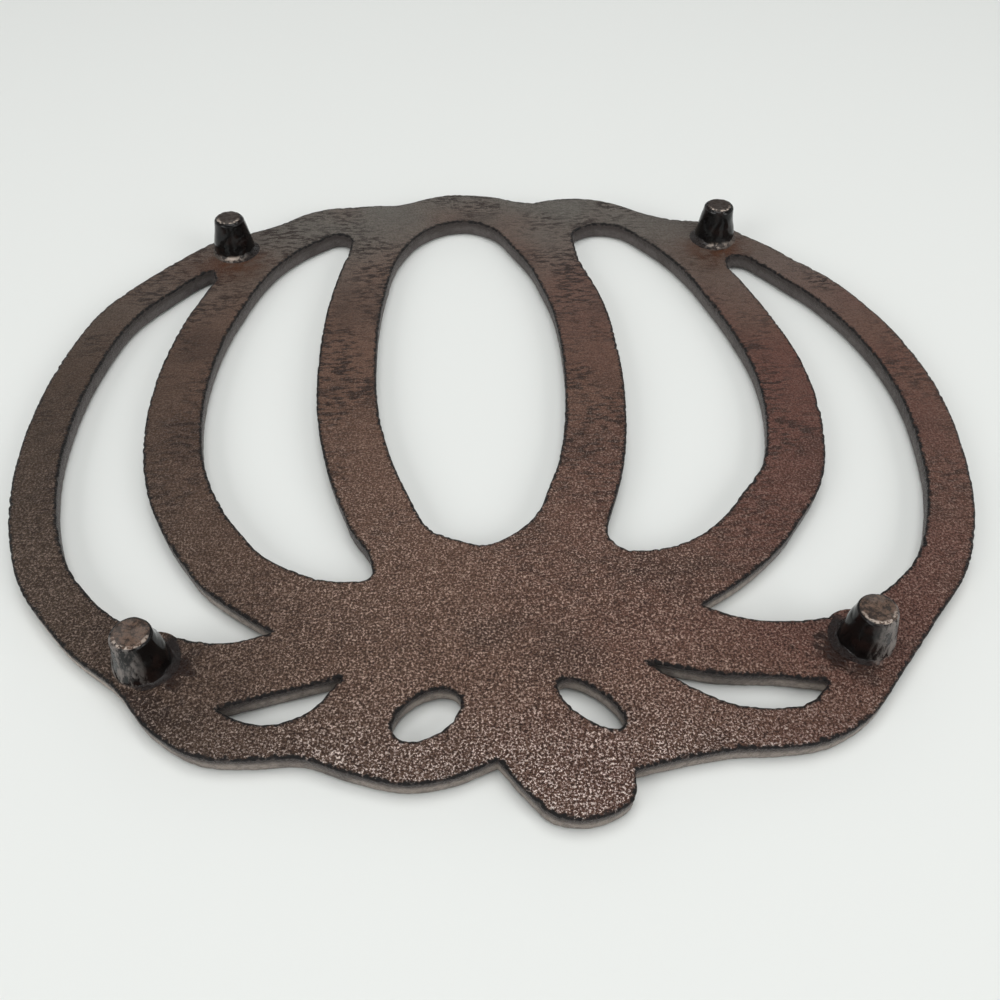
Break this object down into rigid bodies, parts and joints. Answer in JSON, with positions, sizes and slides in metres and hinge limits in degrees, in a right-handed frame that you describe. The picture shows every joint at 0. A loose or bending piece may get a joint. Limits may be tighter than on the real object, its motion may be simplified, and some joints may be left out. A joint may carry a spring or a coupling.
{
  "type": "trivet",
  "caption": "Cast-iron pumpkin-shaped openwork trivet on tapered feet, stored face down with its feet up.",
  "frame": {"origin": "middle of the trivet's outline, on the surface under the pot face", "axes": "+Z out of the underside, so the feet point up, as the trivet lies in the picture; -Y towards the pumpkin's stem; +X to the right of the picture. In use it is turned half a turn about X and stands on its feet, with the pot on the face at z = 0."},
  "size_m": [0.203, 0.1866, 0.0139],
  "materials": {
    "iron": "semi-gloss dark brown coating over rough cast iron",
    "foot_iron": "glossy dark brown coating on the sides, matt brown on the tips"
  },
  "bodies": {
    "root": {"far_rim": "iron", "left_outer_rib": "iron", "left_middle_rib": "iron", "left_centre_rib": "iron", "right_centre_rib": "iron", "right_middle_rib": "iron", "right_outer_rib": "iron", "leaf_crown": "iron", "stem": "iron", "foot_near_left": "foot_iron", "foot_near_right": "foot_iron", "foot_far_left": "foot_iron", "foot_far_right": "foot_iron"}
  },
  "joints": []
}
